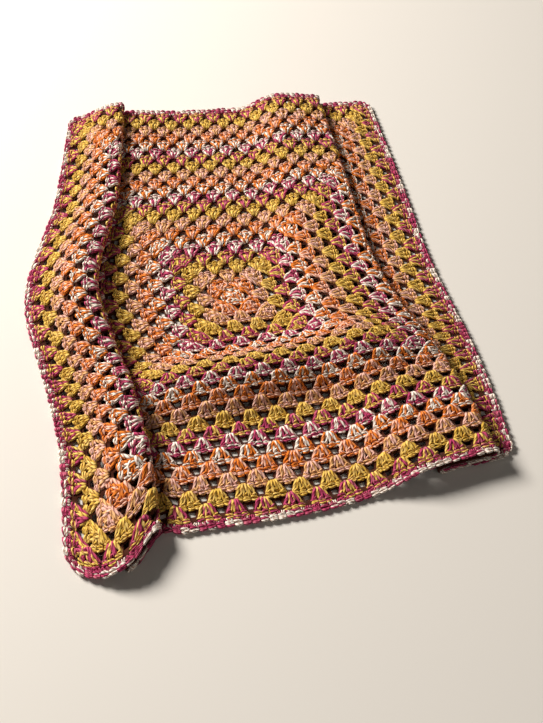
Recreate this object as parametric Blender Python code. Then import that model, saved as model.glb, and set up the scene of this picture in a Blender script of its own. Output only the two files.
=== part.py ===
# Granny square blanket laid out on a flat surface, with one long soft fold down each side.
# Metres, +Z up. The origin is under the middle of the blanket's bounding box.
# Flat places in the crochet are u (to the right) and v (away), measured from its centre.

import math

import bpy
import numpy as np

# The crochet, as it was worked: rounds from the centre out, then one edging round
ROUNDS = 23
ROUND_DEPTH = 0.0265
PANEL_HALF = ROUNDS * ROUND_DEPTH
EDGING_WIDTH = 0.016
EDGING_RIM_SHARE = 0.7
PART_GAP = 0.0003
SHEET_HALF = PANEL_HALF + PART_GAP + EDGING_WIDTH
THICKNESS = 0.0095
CORNER_RADIUS = 0.035

# Gaps between the clusters, cut through at twice the pitch of the stitches
GAP_PITCH = 2 * ROUND_DEPTH
GAP_STEPS = 10
GAP_HALF_WIDTH = 0.0115
GAP_HALF_DEPTH = 0.0085

# Each long fold runs up to a ridge, turns under it, tucks back and turns again.
# Rise, ridge and bend sizes are lengths along the crochet.
# The tuck is as long as this at the middle, and the stations below give it along the fold.
LEFT_FOLD = {
    "rise_start": -0.605,
    "rise_end": -0.475,
    "ridge": -0.440,
    "ridge_bend": 0.044,
    "lower_bend": 0.028,
    "middle_tuck": 0.040,
}
RIGHT_FOLD = {
    "rise_start": 0.080,
    "rise_end": 0.210,
    "ridge": 0.345,
    "ridge_bend": 0.036,
    "lower_bend": 0.024,
    "middle_tuck": 0.050,
}
# Where across a fold's rise and its two bends the panel has more lines, as shares of each
RISE_SHARES = np.array([0.25, 0.5])
RIDGE_SHARES = np.array([0.15, 0.4, 0.65, 0.9])
LOWER_SHARES = np.array([0.1, 0.5, 0.9])
LEAST_LINE_GAP = 0.0035

# Where the crochet lies, from its far edge to its near edge: v is the flat place of each
# station, then its left and right ends on the surface, how far each fold tucks back, and how
# large each fold's bends are there beside their full size.
STATION_COLUMNS = (
    "v",
    "left_x",
    "left_y",
    "right_x",
    "right_y",
    "left_tuck",
    "right_tuck",
    "left_bends",
    "right_bends",
)
STATIONS = {
    "far edge": (0.6255, -0.415, 0.635, 0.375, 0.600, 0.058, 0.036, 0.66, 0.75),
    "upper": (0.3200, -0.455, 0.330, 0.400, 0.308, 0.054, 0.040, 0.70, 0.76),
    "middle": (0.0000, -0.520, -0.025, 0.425, -0.015, 0.040, 0.050, 1.00, 0.82),
    "above the crease": (-0.1060, -0.497, -0.135, 0.440, -0.105, 0.041, 0.055, 1.00, 0.88),
    "crease": (-0.2650, -0.468, -0.262, 0.457, -0.205, 0.042, 0.066, 1.00, 0.94),
    "below the crease": (-0.4240, -0.448, -0.388, 0.470, -0.322, 0.043, 0.078, 1.00, 1.00),
    "near edge": (-0.6255, -0.440, -0.630, 0.480, -0.505, 0.044, 0.092, 0.75, 1.00),
}
# Soft rises of the whole cloth: middle x and y, half sizes along x and y, height
SWELLS = {
    "cross ridge left": {"x": -0.120, "y": -0.258, "half_x": 0.270, "half_y": 0.105, "height": 0.050},
    "cross ridge right": {"x": 0.140, "y": -0.222, "half_x": 0.270, "half_y": 0.105, "height": 0.044},
    "left shoulder": {"x": -0.420, "y": 0.020, "half_x": 0.170, "half_y": 0.300, "height": 0.024},
    "far ripple left": {"x": -0.250, "y": 0.560, "half_x": 0.130, "half_y": 0.200, "height": 0.012},
    "far ripple right": {"x": 0.130, "y": 0.560, "half_x": 0.120, "half_y": 0.220, "height": 0.014},
}
# Plan waves of the near edge: middle x, half width, how far the edge moves away
EDGE_WAVES = {
    "corner lobe": {"x": -0.345, "half_x": 0.125, "shift": -0.058},
    "recess": {"x": -0.255, "half_x": 0.050, "shift": 0.020},
    "belly": {"x": 0.080, "half_x": 0.300, "shift": -0.021},
}
EDGE_WAVE_REACH = 0.30

# Fineness of the table that the lay of the cloth is read from
TABLE_STEP_U = 0.001
TABLE_STEP_V = 0.010
CENTRING_PLACES = 400

PANEL_COLOUR = (0.60, 0.30, 0.14, 1.0)
EDGING_COLOUR = (0.52, 0.12, 0.22, 1.0)
YARN_ROUGHNESS = 0.9
SHARP_ANGLE = math.radians(50)


def clear_scene():
    for old in list(bpy.data.objects):
        bpy.data.objects.remove(old, do_unlink=True)


def column(table, columns, name):
    return np.array([row[columns.index(name)] for row in table.values()])


def smooth_through(places, values, at):
    """A curve through the stations whose slope at each is that of its neighbours."""
    order = np.argsort(places)
    places, values = places[order], values[order]
    slopes = np.gradient(values, places)
    index = np.clip(np.searchsorted(places, at) - 1, 0, len(places) - 2)
    span = places[index + 1] - places[index]
    t = (at - places[index]) / span
    start = (1 + 2 * t) * (1 - t) ** 2 * values[index] + t * (1 - t) ** 2 * span * slopes[index]
    end = t * t * (3 - 2 * t) * values[index + 1] + t * t * (t - 1) * span * slopes[index + 1]
    return start + end


def station_value(name, v):
    places = column(STATIONS, STATION_COLUMNS, "v")
    return smooth_through(places, column(STATIONS, STATION_COLUMNS, name), v)


def ramp(along, start, length):
    return np.clip((along - start) / length, 0.0, 1.0)


def fold_heading(fold, tuck, bends, u):
    """The angle of the cloth to the surface across one fold, in radians."""
    ridge_bend, lower_bend = bends * fold["ridge_bend"], bends * fold["lower_bend"]
    height = 2 * (ridge_bend + lower_bend) / math.pi
    run = fold["rise_end"] - fold["rise_start"]
    t = ramp(u, fold["rise_start"], run)
    slope = 6 * t * (1 - t) * height / run
    ridge_start = fold["ridge"] - ridge_bend / 2
    lower_start = ridge_start + ridge_bend + tuck
    turned = ramp(u, lower_start, lower_bend) - ramp(u, ridge_start, ridge_bend)
    return np.arcsin(slope) + math.pi * turned


class LaidCloth:
    """Where each flat place of the crochet lies, read from a fine table."""

    def __init__(self):
        half = SHEET_HALF
        self.u = np.linspace(-half, half, round(2 * half / TABLE_STEP_U) + 1)
        self.v = np.linspace(-half, half, round(2 * half / TABLE_STEP_V) + 1)
        u, v = np.meshgrid(self.u, self.v)
        left = fold_heading(LEFT_FOLD, station_value("left_tuck", v), station_value("left_bends", v), u)
        right = fold_heading(RIGHT_FOLD, station_value("right_tuck", v), station_value("right_bends", v), u)
        self.heading = left + right
        step = self.u[1] - self.u[0]
        middle = (self.heading[:, 1:] + self.heading[:, :-1]) / 2
        start = np.zeros((len(self.v), 1))
        self.x = np.hstack([start, np.cumsum(np.cos(middle) * step, axis=1)])
        self.z = np.hstack([start, np.cumsum(np.sin(middle) * step, axis=1)])
        self.settle(LEFT_FOLD, RIGHT_FOLD["rise_start"])
        self.settle(RIGHT_FOLD, half)
        self.z += THICKNESS / 2
        self.centre = (0.0, 0.0)

    def settle(self, fold, flat_u):
        """Makes the cloth past a fold lie exactly on the surface, by a hair more or less rise."""
        left_over = self.z[:, [np.searchsorted(self.u, flat_u) - 1]]
        self.z -= left_over * ramp(self.u, fold["rise_start"], fold["rise_end"] - fold["rise_start"])

    def read(self, grid, u, v):
        across = (u - self.u[0]) / (self.u[1] - self.u[0])
        along = (v - self.v[0]) / (self.v[1] - self.v[0])
        i = np.clip(across.astype(int), 0, len(self.u) - 2)
        j = np.clip(along.astype(int), 0, len(self.v) - 2)
        fx, fy = across - i, along - j
        near = grid[j, i] * (1 - fx) + grid[j, i + 1] * fx
        far = grid[j + 1, i] * (1 - fx) + grid[j + 1, i + 1] * fx
        return near * (1 - fy) + far * fy

    def place(self, u, v, w):
        """World points of flat places u, v that stand w above the middle of the cloth."""
        u, v, w = (np.asarray(values, float) for values in (u, v, w))
        u, v = round_corners(u, v)
        heading = self.read(self.heading, u, v)
        width = self.read(self.x, np.full_like(u, SHEET_HALF), v)
        x = self.read(self.x, u, v) - w * np.sin(heading)
        z = self.read(self.z, u, v) + w * np.cos(heading)
        share = x / width
        left_x, left_y = station_value("left_x", v), station_value("left_y", v)
        x = left_x + share * (station_value("right_x", v) - left_x)
        y = left_y + share * (station_value("right_y", v) - left_y)
        y = y + near_edge_shift(x, v)
        z = z + swell(x, y)
        return np.stack([x - self.centre[0], y - self.centre[1], z], axis=-1)


def round_corners(u, v):
    """Draws the four corners of the square in, so that they are round."""
    straight = SHEET_HALF - CORNER_RADIUS
    past_u = np.clip(np.abs(u) - straight, 1e-9, None)
    past_v = np.clip(np.abs(v) - straight, 1e-9, None)
    drawn_in = 1 - np.maximum(past_u, past_v) / np.hypot(past_u, past_v)
    return u - np.sign(u) * past_u * drawn_in, v - np.sign(v) * past_v * drawn_in


def bump(distance):
    return np.clip(1 - distance**2, 0.0, None) ** 2


def swell(x, y):
    total = np.zeros_like(x)
    for rise in SWELLS.values():
        away = np.hypot((x - rise["x"]) / rise["half_x"], (y - rise["y"]) / rise["half_y"])
        total += rise["height"] * bump(away)
    return total


def near_edge_shift(x, v):
    total = np.zeros_like(x)
    for wave in EDGE_WAVES.values():
        total += wave["shift"] * bump((x - wave["x"]) / wave["half_x"])
    return total * bump((v + SHEET_HALF) / EDGE_WAVE_REACH)


def centre_cloth(cloth):
    """Puts the middle of the blanket's bounding box over the origin."""
    places = np.linspace(-SHEET_HALF, SHEET_HALF, CENTRING_PLACES)
    u, v = (grid.ravel() for grid in np.meshgrid(places, places))
    faces = [cloth.place(u, v, np.full_like(u, side * THICKNESS / 2)) for side in (-1, 1)]
    points = np.concatenate(faces)
    cloth.centre = tuple((points[:, :2].min(axis=0) + points[:, :2].max(axis=0)) / 2)


def gap_edges(half_size):
    """Lines along both sides of each row of gaps, at the corners and along the panel's two edges."""
    middles = GAP_PITCH * np.arange(-GAP_STEPS, GAP_STEPS + 1)
    corner = SHEET_HALF - CORNER_RADIUS
    edges = [-PANEL_HALF, -corner, corner, PANEL_HALF]
    return np.concatenate([edges, middles - half_size, middles + half_size])


def bend_lines(fold):
    """More lines where a fold turns, so that its bends look round."""
    ridge_start = fold["ridge"] - fold["ridge_bend"] / 2
    lower_start = ridge_start + fold["ridge_bend"] + fold["middle_tuck"]
    rise = fold["rise_start"] + RISE_SHARES * (fold["rise_end"] - fold["rise_start"])
    ridge = ridge_start + RIDGE_SHARES * fold["ridge_bend"]
    lower = lower_start + LOWER_SHARES * fold["lower_bend"]
    return np.concatenate([rise, ridge, lower])


def without_crowding(lines):
    """Drops a line that lies too close to the one before it, but never an edge of a gap."""
    kept = []
    firm = set(np.round(gap_edges(GAP_HALF_WIDTH), 6))
    for line in sorted(lines):
        crowded = kept and line - kept[-1] < LEAST_LINE_GAP
        if crowded and round(line, 6) in firm:
            kept[-1] = line
        elif not crowded:
            kept.append(line)
    return np.array(kept)


def is_gap(u, v):
    """Whether the cell around this flat place is one of the gaps."""
    i, j = round(u / GAP_PITCH), round(v / GAP_PITCH)
    inside = abs(u - i * GAP_PITCH) < GAP_HALF_WIDTH and abs(v - j * GAP_PITCH) < GAP_HALF_DEPTH
    return inside and (i + j) % 2 == 0 and max(abs(i), abs(j)) <= GAP_STEPS


def panel_lines():
    across = np.concatenate([gap_edges(GAP_HALF_WIDTH), bend_lines(LEFT_FOLD), bend_lines(RIGHT_FOLD)])
    return without_crowding(across), np.sort(gap_edges(GAP_HALF_DEPTH))


def new_object(name, points, faces, colour):
    mesh = bpy.data.meshes.new(name)
    mesh.from_pydata([tuple(point) for point in points], [], faces)
    mesh.validate()
    mesh.shade_smooth()
    mesh.set_sharp_from_angle(angle=SHARP_ANGLE)
    material = bpy.data.materials.new(name + "_yarn")
    material.use_nodes = True
    shader = material.node_tree.nodes["Principled BSDF"]
    shader.inputs["Base Color"].default_value = colour
    shader.inputs["Roughness"].default_value = YARN_ROUGHNESS
    mesh.materials.append(material)
    made = bpy.data.objects.new(name, mesh)
    bpy.context.collection.objects.link(made)
    return made


def make_panel(cloth):
    """The worked square as one thick sheet, with its gaps cut through."""
    across, away = panel_lines()
    u, v = (grid.ravel() for grid in np.meshgrid(across, away))
    top = cloth.place(u, v, np.full_like(u, THICKNESS / 2))
    bottom = cloth.place(u, v, np.full_like(u, -THICKNESS / 2))
    columns, rows = len(across) - 1, len(away) - 1
    solid = np.zeros((rows + 2, columns + 2), bool)
    for row in range(rows):
        for col in range(columns):
            middle_u = (across[col] + across[col + 1]) / 2
            middle_v = (away[row] + away[row + 1]) / 2
            solid[row + 1, col + 1] = not is_gap(middle_u, middle_v)
    count = len(u)

    def corner(row, col):
        return row * (columns + 1) + col

    faces = []
    for row in range(rows):
        for col in range(columns):
            if not solid[row + 1, col + 1]:
                continue
            near = [corner(row, col), corner(row, col + 1)]
            far = [corner(row + 1, col + 1), corner(row + 1, col)]
            ring = near + far
            faces.append(ring)
            faces.append([count + index for index in reversed(ring)])
            nearer, further = solid[row, col + 1], solid[row + 2, col + 1]
            left, right = solid[row + 1, col], solid[row + 1, col + 2]
            for side, covered in enumerate((nearer, right, further, left)):
                if not covered:
                    first, second = ring[side], ring[(side + 1) % 4]
                    faces.append([second, first, count + first])
                    faces.append([second, count + first, count + second])
    points, faces = drop_unused(np.concatenate([top, bottom]), faces)
    return new_object("panel", points, faces, PANEL_COLOUR)


def drop_unused(points, faces):
    used = np.unique(np.concatenate([np.array(face) for face in faces]))
    fresh = {int(old): index for index, old in enumerate(used)}
    return points[used], [[fresh[int(index)] for index in face] for face in faces]


def ring_places(across, away, offset):
    """Flat places once round a square that stands this far outside the panel."""
    reach = PANEL_HALF + offset
    inner_u, inner_v = across[1:-1], away[1:-1]
    sides = [
        (np.concatenate([[-reach], inner_u]), -reach),
        (reach, np.concatenate([[-reach], inner_v])),
        (np.concatenate([[reach], inner_u[::-1]]), reach),
        (-reach, np.concatenate([[reach], inner_v[::-1]])),
    ]
    pairs = [np.broadcast_arrays(np.asarray(u, float), np.asarray(v, float)) for u, v in sides]
    return np.concatenate([u for u, _ in pairs]), np.concatenate([v for _, v in pairs])


def make_edging(cloth):
    """The edging round: a band with a rounded outer rim, all round the panel."""
    across, away = panel_lines()
    half = THICKNESS / 2
    rim = EDGING_WIDTH * EDGING_RIM_SHARE
    section = ((0.0, -half), (rim, -half), (EDGING_WIDTH, 0.0), (rim, half), (0.0, half))
    loops = []
    for out, height in section:
        u, v = ring_places(across, away, PART_GAP + out)
        loops.append(cloth.place(u, v, np.full_like(u, height)))
    around = len(loops[0])
    faces = []
    for loop in range(len(section)):
        after = (loop + 1) % len(section)
        for step in range(around):
            ahead = (step + 1) % around
            first, second = loop * around + step, loop * around + ahead
            third, fourth = after * around + ahead, after * around + step
            faces.append([first, second, fourth])
            faces.append([second, third, fourth])
    return new_object("edging", np.concatenate(loops), faces, EDGING_COLOUR)


def main():
    clear_scene()
    cloth = LaidCloth()
    centre_cloth(cloth)
    make_panel(cloth)
    make_edging(cloth)


main()
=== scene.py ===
import math
import time
import bpy
import numpy as np
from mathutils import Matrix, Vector


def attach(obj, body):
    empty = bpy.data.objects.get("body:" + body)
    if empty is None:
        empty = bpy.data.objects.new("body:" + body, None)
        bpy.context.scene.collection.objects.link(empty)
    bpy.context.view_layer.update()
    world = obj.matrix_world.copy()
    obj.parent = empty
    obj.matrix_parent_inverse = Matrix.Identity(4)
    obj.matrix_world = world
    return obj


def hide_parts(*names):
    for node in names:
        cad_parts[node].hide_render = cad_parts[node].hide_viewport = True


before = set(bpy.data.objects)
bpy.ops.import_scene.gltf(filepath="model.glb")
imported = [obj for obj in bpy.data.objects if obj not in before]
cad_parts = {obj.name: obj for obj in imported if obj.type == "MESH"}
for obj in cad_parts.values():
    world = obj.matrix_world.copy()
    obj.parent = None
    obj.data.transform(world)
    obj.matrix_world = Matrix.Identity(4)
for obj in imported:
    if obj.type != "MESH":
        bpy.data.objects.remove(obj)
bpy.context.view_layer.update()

startTime = time.time()

# A granny square blanket in doubled bulky yarn, laid out with one long soft fold down each side.
# Metres. u and v are flat places on the crochet, right and away from its middle;
# w is the height above the crochet's own middle layer.

worked = {
    "rounds": 23,
    "roundDepth": 0.0265,
    "edgingWidth": 0.016,
    "edgingGap": 0.0003,
    "thickness": 0.0095,
    "cornerRadius": 0.035,
    "unevenness": 0.0008,  # how far the stitches stray from a perfect net
    "seed": 41,
}
worked["panelHalf"] = worked["rounds"] * worked["roundDepth"]
worked["half"] = worked["panelHalf"] + worked["edgingGap"] + worked["edgingWidth"]

# Each long fold rises to a ridge, turns under it, tucks back and turns again: lengths along the crochet
folds = {
    "left": {
        "riseStart": -0.605,
        "riseEnd": -0.475,
        "ridge": -0.440,
        "ridgeBend": 0.044,
        "lowerBend": 0.028,
    },
    "right": {
        "riseStart": 0.080,
        "riseEnd": 0.210,
        "ridge": 0.345,
        "ridgeBend": 0.036,
        "lowerBend": 0.024,
    },
}
# Where it lies, from the far edge to the near edge: each row's ends on the surface, how far the folds
# tuck back, and how large the folds' bends are beside their full size
lieColumns = ("v", "leftX", "leftY", "rightX", "rightY", "leftTuck", "rightTuck", "leftBends", "rightBends")
lieRows = (
    (0.6255, -0.415, 0.635, 0.375, 0.600, 0.058, 0.036, 0.66, 0.75),
    (0.3200, -0.455, 0.330, 0.400, 0.308, 0.054, 0.040, 0.70, 0.76),
    (0.0000, -0.520, -0.025, 0.425, -0.015, 0.040, 0.050, 1.00, 0.82),
    (-0.1060, -0.497, -0.135, 0.440, -0.105, 0.041, 0.055, 1.00, 0.88),
    (-0.2650, -0.468, -0.262, 0.457, -0.205, 0.042, 0.066, 1.00, 0.94),
    (-0.4240, -0.448, -0.388, 0.470, -0.322, 0.043, 0.078, 1.00, 1.00),
    (-0.6255, -0.440, -0.630, 0.480, -0.505, 0.044, 0.092, 0.75, 1.00),
)
# Soft rises of the whole cloth: middle x and y, half sizes along x and y, height
swells = {
    "crossRidgeLeft": (-0.120, -0.258, 0.270, 0.105, 0.050),
    "crossRidgeRight": (0.140, -0.222, 0.270, 0.105, 0.044),
    "leftShoulder": (-0.420, 0.020, 0.170, 0.300, 0.024),
    "farRippleLeft": (-0.250, 0.560, 0.130, 0.200, 0.012),
    "farRippleRight": (0.130, 0.560, 0.120, 0.220, 0.014),
}
# Waves of the near edge: middle x, half width, how far the edge moves away
edgeWaves = {
    "cornerLobe": (-0.345, 0.125, -0.058),
    "recess": (-0.255, 0.050, 0.020),
    "belly": (0.080, 0.300, -0.021),
}
edgeWaveReach = 0.30
# How finely the lie of the cloth is worked out, across the folds and along them, and on its rim
lieTable = {"stepAcross": 0.001, "stepAlong": 0.010, "rimPlaces": 400}


def report(stage):
    print(f"{stage} ({time.time() - startTime:.1f} s)")


def lieCurve(name, v):
    # a smooth curve through the rows, whose slope at each is that of its neighbours
    rows = np.array(sorted(lieRows))
    places, values = rows[:, 0], rows[:, lieColumns.index(name)]
    slopes = np.gradient(values, places)
    i = np.clip(np.searchsorted(places, v) - 1, 0, len(places) - 2)
    span = places[i + 1] - places[i]
    t = (v - places[i]) / span
    start = (1 + 2 * t) * (1 - t) ** 2 * values[i] + t * (1 - t) ** 2 * span * slopes[i]
    end = t * t * (3 - 2 * t) * values[i + 1] + t * t * (t - 1) * span * slopes[i + 1]
    return start + end


def ramp(along, start, length):
    return np.clip((along - start) / length, 0.0, 1.0)


def bump(distance):
    return np.clip(1 - distance**2, 0.0, None) ** 2


def foldHeading(fold, tuck, bends, u):
    # the angle of the cloth to the surface across one fold
    ridgeBend, lowerBend = bends * fold["ridgeBend"], bends * fold["lowerBend"]
    height = 2 * (ridgeBend + lowerBend) / math.pi
    run = fold["riseEnd"] - fold["riseStart"]
    t = ramp(u, fold["riseStart"], run)
    slope = 6 * t * (1 - t) * height / run
    ridgeStart = fold["ridge"] - ridgeBend / 2
    lowerStart = ridgeStart + ridgeBend + tuck
    turned = ramp(u, lowerStart, lowerBend) - ramp(u, ridgeStart, ridgeBend)
    return np.arcsin(slope) + math.pi * turned


def roundCorners(u, v):
    # draws the four corners of the square in, so that they are round
    straight = worked["half"] - worked["cornerRadius"]
    pastU = np.clip(np.abs(u) - straight, 1e-9, None)
    pastV = np.clip(np.abs(v) - straight, 1e-9, None)
    drawnIn = 1 - np.maximum(pastU, pastV) / np.hypot(pastU, pastV)
    return u - np.sign(u) * pastU * drawnIn, v - np.sign(v) * pastV * drawnIn


class LaidCloth:
    # where each flat place of the crochet lies, read from a fine table
    def __init__(self):
        half = worked["half"]
        self.u = np.linspace(-half, half, round(2 * half / lieTable["stepAcross"]) + 1)
        self.v = np.linspace(-half, half, round(2 * half / lieTable["stepAlong"]) + 1)
        u, v = np.meshgrid(self.u, self.v)
        self.heading = foldHeading(folds["left"], lieCurve("leftTuck", v), lieCurve("leftBends", v), u)
        self.heading += foldHeading(folds["right"], lieCurve("rightTuck", v), lieCurve("rightBends", v), u)
        step = self.u[1] - self.u[0]
        middle = (self.heading[:, 1:] + self.heading[:, :-1]) / 2
        start = np.zeros((len(self.v), 1))
        self.x = np.hstack([start, np.cumsum(np.cos(middle) * step, axis=1)])
        self.z = np.hstack([start, np.cumsum(np.sin(middle) * step, axis=1)])
        self.settle(folds["left"], folds["right"]["riseStart"])
        self.settle(folds["right"], half)
        self.z += worked["thickness"] / 2
        self.centre = (0.0, 0.0)
        rim = np.linspace(-half, half, lieTable["rimPlaces"])
        u, v = (grid.ravel() for grid in np.meshgrid(rim, rim))
        level = worked["thickness"] / 2
        both = np.concatenate([self.place(u, v, np.full_like(u, s * level))[:, :2] for s in (-1, 1)])
        self.centre = tuple((both.min(axis=0) + both.max(axis=0)) / 2)

    def settle(self, fold, flatU):
        # the cloth past a fold lies exactly on the surface
        leftOver = self.z[:, [np.searchsorted(self.u, flatU) - 1]]
        self.z -= leftOver * ramp(self.u, fold["riseStart"], fold["riseEnd"] - fold["riseStart"])

    def read(self, grid, u, v):
        across = (u - self.u[0]) / (self.u[1] - self.u[0])
        along = (v - self.v[0]) / (self.v[1] - self.v[0])
        i = np.clip(across.astype(int), 0, len(self.u) - 2)
        j = np.clip(along.astype(int), 0, len(self.v) - 2)
        fx, fy = across - i, along - j
        near = grid[j, i] * (1 - fx) + grid[j, i + 1] * fx
        far = grid[j + 1, i] * (1 - fx) + grid[j + 1, i + 1] * fx
        return near * (1 - fy) + far * fy

    def place(self, u, v, w):
        u, v = roundCorners(u, v)
        heading = self.read(self.heading, u, v)
        width = self.read(self.x, np.full_like(u, worked["half"]), v)
        x = self.read(self.x, u, v) - w * np.sin(heading)
        z = self.read(self.z, u, v) + w * np.cos(heading)
        share = x / width
        leftX, leftY = lieCurve("leftX", v), lieCurve("leftY", v)
        x = leftX + share * (lieCurve("rightX", v) - leftX)
        y = leftY + share * (lieCurve("rightY", v) - leftY)
        shift = sum(move * bump((x - middle) / halfX) for middle, halfX, move in edgeWaves.values())
        y = y + shift * bump((v + worked["half"]) / edgeWaveReach)
        for midX, midY, halfX, halfY, height in swells.values():
            z = z + height * bump(np.hypot((x - midX) / halfX, (y - midY) / halfY))
        return np.stack([x - self.centre[0], y - self.centre[1], z], axis=-1)


cloth = LaidCloth()
random = np.random.default_rng(worked["seed"])
report("The lie of the cloth is worked out")

# Yarn colours, linear light: the yarn itself, and the deep shade between its plies
yarnColours = {
    "cream": ((0.99, 0.92, 0.82), (0.33, 0.10, 0.030)),
    "orange": ((0.88, 0.240, 0.026), (0.16, 0.013, 0.001)),
    "pink": ((0.98, 0.56, 0.41), (0.26, 0.042, 0.014)),
    "tan": ((0.88, 0.48, 0.19), (0.19, 0.038, 0.005)),
    "dustyPink": ((0.90, 0.53, 0.43), (0.22, 0.045, 0.018)),
    "mustard": ((0.92, 0.62, 0.13), (0.22, 0.070, 0.004)),
    "olive": ((0.76, 0.47, 0.07), (0.16, 0.048, 0.003)),
    "burgundy": ((0.56, 0.060, 0.160), (0.09, 0.004, 0.012)),
    "innerPaintedShade": ((0.095, 0.022, 0.008), (0.022, 0.004, 0.001)),  # painted shade: the crowded strands deep inside the net, coloured as though in their own shadow
}
yarnNames = list(yarnColours)
# The two yarns held together in each round, from the middle out, over and over; the last pair
# is the edging's too
roundYarns = (
    ("cream", "orange"),
    ("orange", "pink"),
    ("tan", "dustyPink"),
    ("mustard", "olive"),
    ("mustard", "burgundy"),
    ("burgundy", "cream"),
)

yarnFinish = {
    "plies": 3.0,
    "twist": 0.55,  # turns of the plies in one strand width
    "plyHeight": 0.62,
    "fibreHeight": 0.30,
    "fuzzScale": 1400.0,
    "reliefDepth": 0.0011,
    "reliefStrength": 0.8,
    "toneSpread": 0.16,
    "light": (1.0, 0.82, 0.64),  # what the dye fades to along some strands
    "lightShare": 0.12,
    "roughness": 0.82,
    "specular": 0.15,
    "sheen": 0.12,
    "sheenRoughness": 0.45,
}


def socket(group, name, direction, kind, value=None):
    made = group.interface.new_socket(name=name, in_out=direction, socket_type=kind)
    if value is not None:
        made.default_value = value
    return made


def addNode(tree, kind, inputs=None, **settings):
    node = tree.nodes.new(kind)
    for name, value in settings.items():
        setattr(node, name, value)
    for key, value in (inputs or {}).items():
        if isinstance(value, bpy.types.NodeSocket):
            tree.links.new(value, node.inputs[key])
        else:
            node.inputs[key].default_value = value
    return node


def maths(tree, operation, a, b=0.0, c=None):
    inputs = {0: a, 1: b}
    if c is not None:
        inputs[2] = c
    return addNode(tree, "ShaderNodeMath", inputs, operation=operation).outputs[0]


def eased(tree, value, low, high, top):
    # eases from 0 at the low value to the top at the high one
    inputs = {0: value, 1: low, 2: high, 3: 0.0, 4: top}
    return addNode(tree, "ShaderNodeMapRange", inputs, interpolation_type="SMOOTHSTEP").outputs[0]


def mixed(tree, share, a, b):
    return addNode(tree, "ShaderNodeMix", {0: share, 6: a, 7: b}, data_type="RGBA").outputs[2]


def twistedYarnGroup():
    # plies that wind round the strand, loose fibres and an uneven tone; the UV map holds
    # the strand's number plus the way round it, and the way along it
    group = bpy.data.node_groups.new("twisted yarn", "ShaderNodeTree")
    socket(group, "Yarn", "INPUT", "NodeSocketColor", (0.8, 0.7, 0.5, 1))
    socket(group, "Shade", "INPUT", "NodeSocketColor", (0.3, 0.2, 0.1, 1))
    socket(group, "Light", "INPUT", "NodeSocketColor", (0.9, 0.8, 0.7, 1))
    for name in ("Plies", "Twist", "Ply height", "Fibre height", "Fuzz scale"):
        socket(group, name, "INPUT", "NodeSocketFloat", 1.0)
    for name in ("Tone spread", "Light share"):
        socket(group, name, "INPUT", "NodeSocketFloat", 1.0)
    socket(group, "Colour", "OUTPUT", "NodeSocketColor")
    socket(group, "Height", "OUTPUT", "NodeSocketFloat")
    given = addNode(group, "NodeGroupInput").outputs
    uv = addNode(group, "ShaderNodeUVMap", uv_map="strand").outputs[0]
    parts = addNode(group, "ShaderNodeSeparateXYZ", {0: uv}).outputs
    number = maths(group, "FLOOR", parts["X"])
    wayRound = maths(group, "FRACT", parts["X"])
    turns = maths(group, "MULTIPLY", wayRound, given["Plies"])
    wound = maths(group, "MULTIPLY_ADD", parts["Y"], given["Twist"], turns)
    angle = maths(group, "MULTIPLY", wound, math.tau)
    ply = maths(group, "MULTIPLY_ADD", maths(group, "SINE", angle), 0.5, 0.5)
    plyRound = maths(group, "POWER", ply, 0.6)
    windings = maths(group, "MULTIPLY", wound, 6.0)
    spread = addNode(group, "ShaderNodeCombineXYZ", {"X": windings, "Y": parts["Y"], "Z": number})
    fibreLook = {"Vector": spread.outputs[0], "Scale": 1.4, "Detail": 3.0, "Roughness": 0.65}
    fibre = addNode(group, "ShaderNodeTexNoise", fibreLook)
    place = addNode(group, "ShaderNodeTexCoord").outputs["Object"]
    fuzzLook = {"Vector": place, "Scale": given["Fuzz scale"], "Detail": 2.0}
    fuzz = addNode(group, "ShaderNodeTexNoise", fuzzLook)
    slowly = maths(group, "MULTIPLY", parts["Y"], 0.25)
    toneAt = addNode(group, "ShaderNodeCombineXYZ", {"X": number, "Y": slowly})
    tone = addNode(group, "ShaderNodeTexNoise", {"Vector": toneAt.outputs[0], "Scale": 0.9, "Detail": 1.0})
    plyPart = maths(group, "MULTIPLY", plyRound, given["Ply height"])
    fibreSum = maths(group, "ADD", fibre.outputs[0], maths(group, "MULTIPLY", fuzz.outputs[0], 0.6))
    height = maths(group, "MULTIPLY_ADD", fibreSum, given["Fibre height"], plyPart)
    # painted shade: the colour goes to the yarn's Shade colour where the plies and fibres sit low
    lit = eased(group, height, 0.14, 0.80, 1.0)
    faded = eased(group, tone.outputs[0], 0.46, 0.66, given["Light share"])
    dyed = mixed(group, faded, given["Yarn"], given["Light"])
    base = mixed(group, lit, given["Shade"], dyed)
    toneFrom = maths(group, "SUBTRACT", tone.outputs[0], 0.5)
    toneRange = maths(group, "MULTIPLY", given["Tone spread"], 2.0)
    toneGain = maths(group, "MULTIPLY_ADD", toneFrom, toneRange, 1.0)
    toned = addNode(group, "ShaderNodeVectorMath", {0: base, "Scale": toneGain}, operation="SCALE")
    result = addNode(group, "NodeGroupOutput")
    group.links.new(toned.outputs[0], result.inputs["Colour"])
    group.links.new(height, result.inputs["Height"])
    return group


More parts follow.
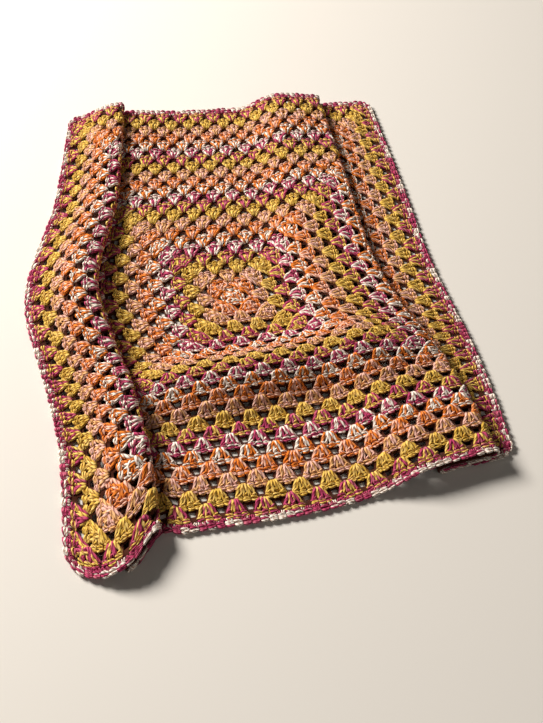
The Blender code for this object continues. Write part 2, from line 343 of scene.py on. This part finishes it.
def yarnMaterial(name, group):
    yarn, shade = yarnColours[name]
    material = bpy.data.materials.new(name + " yarn")
    material.use_nodes = True
    tree = material.node_tree
    shader = tree.nodes["Principled BSDF"]
    twisted = addNode(tree, "ShaderNodeGroup", node_tree=group)
    values = {
        "Yarn": (*yarn, 1),
        "Shade": (*shade, 1),
        "Light": (*yarnFinish["light"], 1),
        "Plies": yarnFinish["plies"],
        "Twist": yarnFinish["twist"],
        "Ply height": yarnFinish["plyHeight"],
        "Fibre height": yarnFinish["fibreHeight"],
        "Fuzz scale": yarnFinish["fuzzScale"],
        "Tone spread": yarnFinish["toneSpread"],
        "Light share": 0.0 if name == "innerPaintedShade" else yarnFinish["lightShare"],
    }
    for key, value in values.items():
        twisted.inputs[key].default_value = value
    relief = addNode(tree, "ShaderNodeBump", {
        "Height": twisted.outputs["Height"],
        "Distance": yarnFinish["reliefDepth"],
        "Strength": yarnFinish["reliefStrength"],
    })
    tree.links.new(twisted.outputs["Colour"], shader.inputs["Base Color"])
    tree.links.new(relief.outputs[0], shader.inputs["Normal"])
    shader.inputs["Roughness"].default_value = yarnFinish["roughness"]
    shader.inputs["Specular IOR Level"].default_value = yarnFinish["specular"]
    shader.inputs["Sheen Weight"].default_value = yarnFinish["sheen"]
    shader.inputs["Sheen Roughness"].default_value = yarnFinish["sheenRoughness"]
    shader.inputs["Sheen Tint"].default_value = (*[0.5 + 0.5 * c for c in yarn], 1)
    return material


yarnGroup = twistedYarnGroup()
yarns = {name: yarnMaterial(name, yarnGroup) for name in yarnNames}
report("The yarns are dyed")


def curveThrough(points, count):
    # smooth curves through rows of points, each read at this many even places
    last = points.shape[1] - 1
    at = np.linspace(0, last, count)
    i = np.minimum(at.astype(int), last - 1)
    t = (at - i)[None, :, None]
    before, start = points[:, np.maximum(i - 1, 0)], points[:, i]
    end, after = points[:, i + 1], points[:, np.minimum(i + 2, last)]
    bend = 2 * before - 5 * start + 4 * end - after
    turn = -before + 3 * start - 3 * end + after
    return (2 * start + (end - before) * t + bend * t**2 + turn * t**3) / 2


# How bluntly a strand's ends are drawn to a point, and how far round the UV map goes: just short of
# once, where the next strand's number starts
strandShape = {"endShape": 0.35, "seam": 0.999}


class StrandPiece:
    # gathers strands of yarn in flat places and makes one mesh of them, laid on the cloth
    def __init__(self, name):
        self.name = name
        self.points, self.quads, self.tips = [], [], []
        self.quadUv, self.tipUv, self.quadYarn, self.tipYarn = [], [], [], []
        self.count, self.strands = 0, 0

    def add(self, paths, radius, sides, yarnIndex):
        # one closed strand along each path, drawn to a point at both ends
        n, k, _ = paths.shape
        rings = k - 2
        tangent = np.gradient(paths, axis=1)
        tangent /= np.linalg.norm(tangent, axis=2, keepdims=True)
        side = np.cross(tangent, [0.0, 0.0, 1.0])
        side /= np.maximum(np.linalg.norm(side, axis=2, keepdims=True), 1e-6)
        lift = np.cross(side, tangent)
        turn = math.tau * np.arange(sides) / sides
        swell = np.sin(np.linspace(0, math.pi, k)[1:-1]) ** strandShape["endShape"] * radius
        across, up = side[:, 1:-1, None, :], lift[:, 1:-1, None, :]
        circle = np.cos(turn)[:, None] * across + np.sin(turn)[:, None] * up
        body = paths[:, 1:-1, None, :] + swell[None, :, None, None] * circle
        each = rings * sides + 2
        points = np.concatenate([body.reshape(n, -1, 3), paths[:, [0, -1]]], axis=1)
        ring, spoke = np.meshgrid(np.arange(rings - 1), np.arange(sides), indexing="ij")
        ring, spoke = ring.ravel(), spoke.ravel()
        ahead = (spoke + 1) % sides
        here, there = ring * sides, (ring + 1) * sides
        quads = np.stack([here + spoke, here + ahead, there + ahead, there + spoke], axis=1)
        way = np.arange(sides)
        wayOn, lastRing = (way + 1) % sides, (rings - 1) * sides
        first = np.stack([np.full(sides, each - 2), wayOn, way], axis=1)
        last = np.stack([np.full(sides, each - 1), lastRing + way, lastRing + wayOn], axis=1)
        tips = np.concatenate([first, last])
        base = self.count + each * np.arange(n)[:, None, None]
        length = np.linalg.norm(np.diff(paths, axis=1), axis=2)
        along = np.concatenate([np.zeros((n, 1)), np.cumsum(length, axis=1)], axis=1) / (2 * radius)
        number = self.strands + np.arange(n)[:, None, None]
        around = np.stack([spoke, spoke + 1, spoke + 1, spoke], axis=1) / sides * strandShape["seam"]
        rows = np.stack([ring, ring, ring + 1, ring + 1], axis=1) + 1
        self.quadUv.append(np.stack([number + around[None], along[:, rows]], axis=-1).reshape(-1, 2))
        tipWays = [np.stack([way + 0.5, *ends], axis=1) for ends in ((way + 1, way), (way, way + 1))]
        tipAround = np.concatenate(tipWays) / sides * strandShape["seam"]
        tipRows = np.concatenate([np.tile(row, (sides, 1)) for row in ([0, 1, 1], [k - 1, k - 2, k - 2])])
        self.tipUv.append(np.stack([number + tipAround[None], along[:, tipRows]], axis=-1).reshape(-1, 2))
        self.points.append(points.reshape(-1, 3))
        self.quads.append((base + quads[None]).reshape(-1, 4))
        self.tips.append((base + tips[None]).reshape(-1, 3))
        yarnOf = np.broadcast_to(np.asarray(yarnIndex), (n,))
        self.quadYarn.append(np.repeat(yarnOf, len(quads)))
        self.tipYarn.append(np.repeat(yarnOf, len(tips)))
        self.count += each * n
        self.strands += n

    def make(self):
        flat = np.concatenate(self.points)
        quads, tips = np.concatenate(self.quads), np.concatenate(self.tips)
        laid = cloth.place(flat[:, 0], flat[:, 1], flat[:, 2])
        laid[:, 2] = np.maximum(laid[:, 2], 0)  # pressed flat where it meets the surface
        uv = np.concatenate(self.quadUv + self.tipUv)
        yarnOf = np.concatenate(self.quadYarn + self.tipYarn)
        return meshPiece(self.name, laid, quads, tips, uv, yarnOf)


def meshPiece(name, points, quads, tris, uv, yarnOf):
    mesh = bpy.data.meshes.new(name)
    mesh.vertices.add(len(points))
    mesh.vertices.foreach_set("co", points.astype(np.float32).ravel())
    corners = np.concatenate([quads.ravel(), tris.ravel()])
    mesh.loops.add(len(corners))
    mesh.loops.foreach_set("vertex_index", corners.astype(np.int32))
    starts = np.concatenate([4 * np.arange(len(quads)), 4 * len(quads) + 3 * np.arange(len(tris))])
    mesh.polygons.add(len(starts))
    mesh.polygons.foreach_set("loop_start", starts.astype(np.int32))
    used, slotOf = np.unique(yarnOf, return_inverse=True)
    for index in used:
        mesh.materials.append(yarns[yarnNames[index]])
    mesh.polygons.foreach_set("material_index", slotOf.astype(np.int32))
    layer = mesh.uv_layers.new(name="strand")
    layer.data.foreach_set("uv", uv.astype(np.float32).ravel())
    mesh.update(calc_edges=True)
    mesh.shade_smooth()
    piece = bpy.data.objects.new(name, mesh)
    bpy.context.collection.objects.link(piece)
    return piece


# One cluster of three trebles, in millimetres: across it, out from the middle of the square, and up
cluster = {
    "postSides": 5,
    "postRings": 5,
    "postRadius": 3.6,
    "chainSides": 5,
    "chainRings": 3,
    "chainRadius": 2.5,
    "footSpread": 4.2,  # how far apart the posts stand at the foot, and at the head
    "diveShare": 0.6,  # the share of that at the foot where they dive below it
    "headSpread": 17.0,
    "pairSpread": 2.4,  # the two yarns of a post, side by side and over each other
    "pairOpening": 0.85,  # how much further apart they are at the head
    "pairLift": 1.2,
    "pairSideways": 0.6,  # under 1 keeps the two yarns side by side for longer as they turn
    "pairStray": 0.45,  # radians by which the pair is turned at the foot, and by which it turns on
    "pairTurn": (0.2, 0.9),
    "puff": 2.8,  # how far the middle of a cluster stands up
    "puffReach": 31.5,  # how far across it does so
    "puffSink": 0.4,  # the share of its puff by which the whole cluster is set lower
    "lean": 7.5,  # how far the head of a corner cluster leans off the corner
    "footLean": 3.0,
    "linkLength": 14.2,
    "linkOut": 21.6,
    "linkSpread": 2.9,  # the two legs of a chain link
    "linkPair": 1.35,
    "linkTurn": (0.8, 0.9),  # how far a leg's yarns turn about each other, across and up
    "linkDrop": 1.5,  # how much further in the two outer links are
    "linkLean": 0.8,  # the share of a corner cluster's lean that its links have
    "wrapOut": 12.5,
    "wrapStray": 1.5,
    "wrapShare": 0.7,  # how far up the posts a wrap is, as the share of their spread
    "wrapSlant": (2.6, 4.4),
    "wrapsLeft": 0.3,  # the share of wraps that slant the other way
    "firstWraps": 0.5,  # the share of wraps in the round's first yarn
}
# A post from where it dives into the gap below it to its head: share of the spread, out, up
postRows = (
    (-0.25, -9.5, -1.6),
    (0.00, -5.5, 2.2),
    (0.21, 0.5, 2.8),
    (0.55, 9.0, 1.5),
    (1.00, 20.0, -0.8),
)
# A leg of a chain link: share of its length, share of its spread, up
legRows = ((-0.58, 0.00, 0.0), (-0.20, 0.95, 1.8), (0.24, 1.15, 1.8), (0.62, 0.45, -0.9))
# A wrap over a post: across, share of its slant, up
wrapRows = ((-4.4, -1.0, -0.4), (-1.9, -0.5, 2.7), (1.9, 0.5, 2.7), (4.4, 1.0, -0.4))


def puffed(path):
    # the middle of a cluster stands up, and its sides fall away
    rise = cluster["puff"] * bump(path[..., 0] / cluster["puffReach"])
    return path + np.stack([0 * rise, 0 * rise, rise - cluster["puffSink"] * cluster["puff"]], axis=-1)


def postPaths(leans):
    # paths of both yarns of three posts in each cluster, with the yarn's place in the pair
    n = len(leans)
    opened, out, up = np.array(postRows).T
    fanned = np.clip(opened, 0, 1)
    paths, pairs = [], []
    for post in (-1, 0, 1):
        spread = cluster["footSpread"] + fanned * (cluster["headSpread"] - cluster["footSpread"])
        spread = spread * np.where(opened < 0, cluster["diveShare"], 1.0)
        across = post * spread - leans[:, None] * (cluster["footLean"] + fanned * cluster["lean"])
        phase = math.pi * random.integers(0, 2, (n, 1)) + random.normal(0, cluster["pairStray"], (n, 1))
        phase = phase + opened * random.uniform(*cluster["pairTurn"], (n, 1))
        apart = cluster["pairSpread"] * (1 + cluster["pairOpening"] * fanned)
        for pair in (0, 1):
            turned = phase + pair * math.pi
            beside = np.sign(np.cos(turned)) * np.abs(np.cos(turned)) ** cluster["pairSideways"]
            s = across + apart * beside
            w = up + cluster["pairLift"] * np.sin(turned)
            t = np.broadcast_to(out, (n, len(out)))
            paths.append(puffed(np.stack([s, t, w], axis=-1)))
            pairs.append(np.full(n, pair))
    return paths, pairs


def wrapPaths(leans):
    # the slanting wrap over each post
    n = len(leans)
    share, left, wander = cluster["wrapShare"], cluster["wrapsLeft"], cluster["wrapStray"]
    paths = []
    for post in (-1, 0, 1):
        reach = share * (cluster["headSpread"] - cluster["footSpread"]) + cluster["footSpread"]
        middle = post * reach - leans * (cluster["footLean"] + share * cluster["lean"])
        slant = random.uniform(*cluster["wrapSlant"], n) * random.choice([-1, 1], n, p=[left, 1 - left])
        out = cluster["wrapOut"] + random.uniform(-wander, wander, n)
        rows = [np.stack([middle + a, out + b * slant, np.full(n, c)], axis=-1) for a, b, c in wrapRows]
        paths.append(puffed(np.stack(rows, axis=1)))
    return paths


def linkPaths(middles, out, length, lift):
    # both yarns of both legs of chain links, given where each link's middle is
    n = len(middles)
    turnAcross, turnUp = cluster["linkTurn"]
    paths, pairs = [], []
    for leg in (-1, 1):
        phase = random.uniform(0, math.tau, n)
        for pair in (0, 1):
            turned = phase + pair * math.pi
            rows = []
            for share, spread, up in legRows:
                s = middles + share * length + turnAcross * np.sin(turned)
                t = out + leg * spread * cluster["linkSpread"] + cluster["linkPair"] * np.cos(turned)
                w = lift + up + turnUp * np.sin(turned)
                rows.append(np.stack([s, t, w], axis=-1))
            paths.append(np.stack(rows, axis=1))
            pairs.append(np.full(n, pair))
    return paths, pairs


# How far clusters stray from even ones: swung aside from a place this far out, moved, widened, tilted
stray = {"swing": 0.05, "swingFrom": 0.010, "shift": 0.0010, "grow": 0.04, "tilt": 0.030}


def roundPiece(number):
    # all clusters of one round: worked out in one place, then set round the four sides
    depth = worked["roundDepth"]
    first, second = (yarnNames.index(name) for name in roundYarns[(number - 1) % len(roundYarns)])
    middles = np.tile(-(number - 1) + 2.0 * np.arange(number), 4) * depth
    side = np.repeat(np.arange(4), number)
    leans = np.zeros(4 * number)
    atEnd = np.tile(np.arange(number) == number - 1, 4)
    atStart = np.tile(np.arange(number) == 0, 4)
    leans[atEnd] += 1
    leans[atStart] -= 1
    if number == 1:
        leans[:] = 0
    piece = StrandPiece(f"round_{number:02d}")
    swing = random.normal(0, stray["swing"], len(middles))
    shift = random.normal(0, stray["shift"], (len(middles), 2))
    grow = random.normal(1.0, stray["grow"], len(middles))
    tilt = random.normal(0, stray["tilt"], len(middles))

    def lay(local, kind, yarnOf):
        local = local + random.normal(0, 1000 * worked["unevenness"], local.shape) * [1, 1, 0.5]
        path = curveThrough(local / 1000, cluster[kind + "Rings"] + 2)
        s, t = path[..., 0] * grow[:, None], path[..., 1]
        s = s + swing[:, None] * (t - stray["swingFrom"]) + shift[:, :1] + middles[:, None]
        t = t + shift[:, 1:] + (number - 1) * depth
        quarter = side[:, None] % 4
        u = np.choose(quarter, [s, t, -s, -t])
        v = np.choose(quarter, [t, -s, -t, s])
        w = path[..., 2] + tilt[:, None] * path[..., 0]
        radius, sides = cluster[kind + "Radius"] / 1000, cluster[kind + "Sides"]
        piece.add(np.stack([u, v, w], axis=-1), radius, sides, yarnOf)

    paths, pairs = postPaths(leans)
    for path, pair in zip(paths, pairs):
        lay(path, "post", np.where(pair == 0, first, second))
    for path in wrapPaths(leans):
        isFirst = random.random(len(middles)) < cluster["firstWraps"]
        lay(path, "chain", np.where(isFirst, first, second))
    length = cluster["linkLength"]
    for link in (-1, 0, 1):
        out = cluster["linkOut"] - cluster["linkDrop"] * abs(link)
        linkMiddles = link * length - cluster["linkLean"] * cluster["lean"] * leans
        paths, pairs = linkPaths(linkMiddles, out, length, 0.0)
        for path, pair in zip(paths, pairs):
            lay(puffed(path), "chain", np.where(pair == 0, first, second))
    return piece.make()


edging = {
    "rimOut": 8.8,
    "rimLift": 1.2,
    "linkLength": 16.0,
    "linkRadius": 2.7,
    "rings": 3,
    "sides": 5,
    "postRadius": 2.0,
    "postPlaces": (-0.25, 0.25),  # where the posts stand on a link, as the share of its length
    "postSlant": 2.5,
    "pairApart": 3.6,
    "firstPosts": 0.7,  # the share of posts in the edging's first yarn
    "stretch": 95.0,  # how far apart the long stretches of one yarn on the rim are, and how uneven
    "stretchStray": (1.5, 0.37),
    "topShare": 0.82,  # how much of such a stretch is that yarn
}
# A post of the edging from its foot: share of its slant, out, up
edgingRows = ((-0.9, -4.5, -1.8), (-0.4, -0.8, 2.6), (0.5, 3.5, 2.0), (0.8, 7.0, -0.4))


def edgingPiece():
    # short posts all round and a chained rim, in long stretches of one yarn over the other
    first, second = (yarnNames.index(name) for name in roundYarns[-1])
    half = 1000 * worked["panelHalf"]
    piece = StrandPiece("edging_round")
    perSide = round(2 * (half + edging["rimOut"]) / edging["linkLength"])
    length = 2 * (half + edging["rimOut"]) / perSide
    middles = np.tile((np.arange(perSide) + 0.5) * length - half - edging["rimOut"], 4)
    side = np.repeat(np.arange(4), perSide)
    n = len(middles)

    def lay(local, radius, yarnOf):
        local = local + random.normal(0, 1000 * worked["unevenness"], local.shape) * [0.6, 0.6, 0.5]
        path = curveThrough(local, edging["rings"] + 2) / 1000
        s, t = path[..., 0], path[..., 1] + worked["panelHalf"]
        t = np.minimum(t, worked["half"] - radius / 1000)
        quarter = side[:, None] % 4
        u = np.choose(quarter, [s, t, -s, -t])
        v = np.choose(quarter, [t, -s, -t, s])
        piece.add(np.stack([u, v, path[..., 2]], axis=-1), radius / 1000, edging["sides"], yarnOf)

    for post in edging["postPlaces"]:
        for pair in (0, 1):
            foot = middles + post * length + (pair - 0.5) * edging["pairApart"]
            slant = random.uniform(-edging["postSlant"], edging["postSlant"], n)
            rows = [(foot + a * slant, np.full(n, b), np.full(n, c)) for a, b, c in edgingRows]
            path = np.stack([np.stack(row, axis=-1) for row in rows], axis=1)
            yarnOf = np.where(random.random(n) < edging["firstPosts"], first, second)
            lay(path, edging["postRadius"], yarnOf)
    far, pace = edging["stretchStray"]
    link = np.arange(n)
    over = np.sin(link * length / edging["stretch"] * math.tau + far * np.sin(link * pace)) > 0
    paths, _ = linkPaths(middles, edging["rimOut"], length, edging["rimLift"])
    secondShare = np.where(over, edging["topShare"], 1 - edging["topShare"])
    for path in paths:
        lay(path, edging["linkRadius"], np.where(random.random(n) < secondShare, second, first))
    return piece.make()


# The thin heart of the net under the stitches, with each gap open: it stands for the crowded strands inside
# the net, and its colour is painted shade
heart = {
    "thickness": 0.0022,
    "level": -0.0016,
    "gapHalf": 0.0078,  # where the net's lines run beside the middle of a gap
    "gapInner": (0.0066, 0.0024),  # a gap's inner corners: half its width there, and how far out they are
    "gapOuter": (0.0050, 0.0116),
    "strandPitch": 0.0044,
    "rim": 0.009,
    "ridgeLines": (-0.30, 0.0, 0.30),  # where the mesh has lines over a fold's ridge, in shares of its bend
    "lowerLines": (0.030, 0.110, 9),  # and past it, from, to and how many
    "closestLines": 0.003,
    "uvStart": 400,  # keeps the strand numbers of its pattern above zero
}


def openGaps(u, v):
    # moves the corners of each gap apart, so that it is as wide as between two clusters
    depth, line = worked["roundDepth"], heart["gapHalf"]
    upright = np.abs(v) >= np.abs(u)
    along, out = np.where(upright, u, v), np.where(upright, v, u)
    reach = np.abs(out)
    number = np.floor(reach / depth).astype(int) + 1
    column = np.round(along / depth).astype(int)
    away = along - column * depth
    step = reach - (number - 1) * depth
    isCorner = (column + number) % 2 == 0
    isCorner &= (np.abs(column) < number) & (number <= worked["rounds"])
    for edge, (half, level) in ((line, heart["gapInner"]), (depth - line, heart["gapOuter"])):
        here = isCorner & (np.abs(np.abs(away) - line) < 1e-6) & (np.abs(step - edge) < 1e-6)
        along = np.where(here, column * depth + np.sign(away) * half, along)
        out = np.where(here, np.sign(out) * ((number - 1) * depth + level), out)
    return np.where(upright, along, out), np.where(upright, out, along)


def heartLines(folded):
    depth, gap = worked["roundDepth"], heart["gapHalf"]
    steps = depth * np.arange(-worked["rounds"], worked["rounds"] + 1)
    lines = np.concatenate([steps - gap, steps + gap])
    lines = lines[np.abs(lines) < worked["panelHalf"]]
    outer = worked["panelHalf"] + heart["rim"]
    lines = np.concatenate([lines, [-outer, outer]])
    if folded:
        for fold in folds.values():
            ridge = fold["ridge"] + np.array(heart["ridgeLines"]) * fold["ridgeBend"]
            lower = fold["ridge"] + fold["ridgeBend"] / 2 + np.linspace(*heart["lowerLines"])
            for line in np.concatenate([ridge, lower]):
                if np.abs(lines - line).min() > heart["closestLines"]:
                    lines = np.append(lines, line)
    return np.sort(lines)


def heartPiece():
    across, away = heartLines(True), heartLines(False)
    u, v = (grid.ravel() for grid in np.meshgrid(across, away))
    cols, rows = len(across) - 1, len(away) - 1
    midU = ((across[1:] + across[:-1]) / 2)[None, :] * np.ones((rows, 1))
    midV = ((away[1:] + away[:-1]) / 2)[:, None] * np.ones((1, cols))
    depth, gap = worked["roundDepth"], heart["gapHalf"]
    reach = np.maximum(np.abs(midU), np.abs(midV))
    number = np.floor(reach / depth).astype(int) + 1
    outward = np.abs(midV) >= np.abs(midU)
    along = np.where(outward, midU, midV)
    column = np.round(along / depth).astype(int)
    onColumn = np.abs(along - column * depth) < gap
    between = np.abs(reach - (number - 0.5) * depth) < depth / 2 - gap
    isGap = onColumn & between & ((column + number) % 2 == 0) & (np.abs(column) < number)
    isGap &= number <= worked["rounds"]
    corner = (np.abs(np.abs(midU) - (number - 0.5) * depth) < depth / 2 - gap) & between
    corner &= np.abs(np.abs(midV) - (number - 0.5) * depth) < depth / 2 - gap
    solid = np.zeros((rows + 2, cols + 2), bool)
    solid[1:-1, 1:-1] = ~(isGap | corner)
    u, v = openGaps(u, v)
    points = np.concatenate([
        cloth.place(u, v, np.full_like(u, heart["level"] + s * heart["thickness"] / 2)) for s in (1, -1)
    ])
    count = len(u)
    quads, uv = [], []
    for row in range(rows):
        for col in range(cols):
            if not solid[row + 1, col + 1]:
                continue
            at = row * (cols + 1) + col
            ring = [at, at + 1, at + cols + 2, at + cols + 1]
            cell = np.array([[u[i], v[i]] if outward[row, col] else [v[i], u[i]] for i in ring])
            cell = cell / heart["strandPitch"] + heart["uvStart"]
            quads += [ring, [count + i for i in reversed(ring)]]
            uv += [cell, cell[::-1]]
            for way, (down, right) in enumerate(((0, 1), (1, 2), (2, 1), (1, 0))):
                if not solid[row + down, col + right]:
                    a, b = ring[way], ring[(way + 1) % 4]
                    quads.append([b, a, count + a, count + b])
                    uv.append(cell[[(way + 1) % 4, way, way, (way + 1) % 4]])
    quads = np.array(quads)
    used = np.unique(quads)
    fresh = np.zeros(len(points), int)
    fresh[used] = np.arange(len(used))
    # the heart is coloured in painted shade, darker than any yarn it stands for
    yarnOf = np.full(len(quads), yarnNames.index("innerPaintedShade"))
    noTips = np.zeros((0, 3), int)
    return meshPiece("net_heart", points[used], fresh[quads], noTips, np.concatenate(uv), yarnOf)


rounds = [roundPiece(number) for number in range(1, worked["rounds"] + 1)]
report("The rounds are worked")
edgingRound = edgingPiece()
report("The edging is worked")
netHeart = heartPiece()
report("The heart of the net is laid")

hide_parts("panel")
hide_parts("edging")
for piece in [netHeart, *rounds]:
    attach(piece, "root")
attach(edgingRound, "root")


studio = {
    "floorSize": 14.0,
    "floorColour": (0.82, 0.775, 0.71),
    "floorRoughness": 0.9,
    "worldColour": (1.0, 0.94, 0.86),
    "worldStrength": 0.035,
}
# Soft lights, all aimed at the blanket: where each stands, its width, its power in watts and its colour
lamps = {
    "key light": ((-3.6, 2.85, 3.45), 2.2, 590.0, (1.0, 0.96, 0.91)),
    "fill light": ((1.2, -2.7, 2.5), 2.4, 10.0, (1.0, 0.97, 0.93)),
}
view = {
    "target": (0.0328, -0.1985, 0.02),
    "azimuth": -7.14,  # degrees, turned to the left of straight on
    "elevation": 54.52,
    "distance": 2.190,
    "focalPixels": 1018.1,
    "longSidePixels": 723,
    "sensor": 36.0,
}


def makeFloor():
    half = studio["floorSize"] / 2
    mesh = bpy.data.meshes.new("floor")
    corners = [(-half, -half, 0), (half, -half, 0), (half, half, 0), (-half, half, 0)]
    mesh.from_pydata(corners, [], [(0, 1, 2, 3)])
    material = bpy.data.materials.new("pale floor")
    material.use_nodes = True
    shader = material.node_tree.nodes["Principled BSDF"]
    shader.inputs["Base Color"].default_value = (*studio["floorColour"], 1)
    shader.inputs["Roughness"].default_value = studio["floorRoughness"]
    mesh.materials.append(material)
    floor = bpy.data.objects.new("floor", mesh)
    bpy.context.collection.objects.link(floor)


def makeLights():
    world = bpy.data.worlds.new("studio")
    bpy.context.scene.world = world
    world.use_nodes = True
    background = world.node_tree.nodes["Background"]
    background.inputs["Color"].default_value = (*studio["worldColour"], 1)
    background.inputs["Strength"].default_value = studio["worldStrength"]
    for name, (place, width, power, colour) in lamps.items():
        data = bpy.data.lights.new(name, "AREA")
        data.shape = "DISK"
        data.size = width
        data.energy = power
        data.color = colour
        lamp = bpy.data.objects.new(name, data)
        bpy.context.collection.objects.link(lamp)
        lamp.location = place
        lamp.rotation_euler = (-Vector(place)).to_track_quat("-Z", "Y").to_euler()


def makeCamera():
    data = bpy.data.cameras.new("camera")
    data.lens = view["focalPixels"] / view["longSidePixels"] * view["sensor"]
    data.sensor_width = view["sensor"]
    camera = bpy.data.objects.new("camera", data)
    bpy.context.collection.objects.link(camera)
    azimuth, elevation = math.radians(view["azimuth"]), math.radians(view["elevation"])
    back = Vector((
        math.cos(elevation) * math.sin(azimuth),
        -math.cos(elevation) * math.cos(azimuth),
        math.sin(elevation),
    ))
    camera.location = Vector(view["target"]) + view["distance"] * back
    camera.rotation_euler = (-back).to_track_quat("-Z", "Y").to_euler()
    bpy.context.scene.camera = camera


makeFloor()
makeLights()
makeCamera()
bpy.context.scene.view_settings.view_transform = "Standard"
report("The studio is lit")
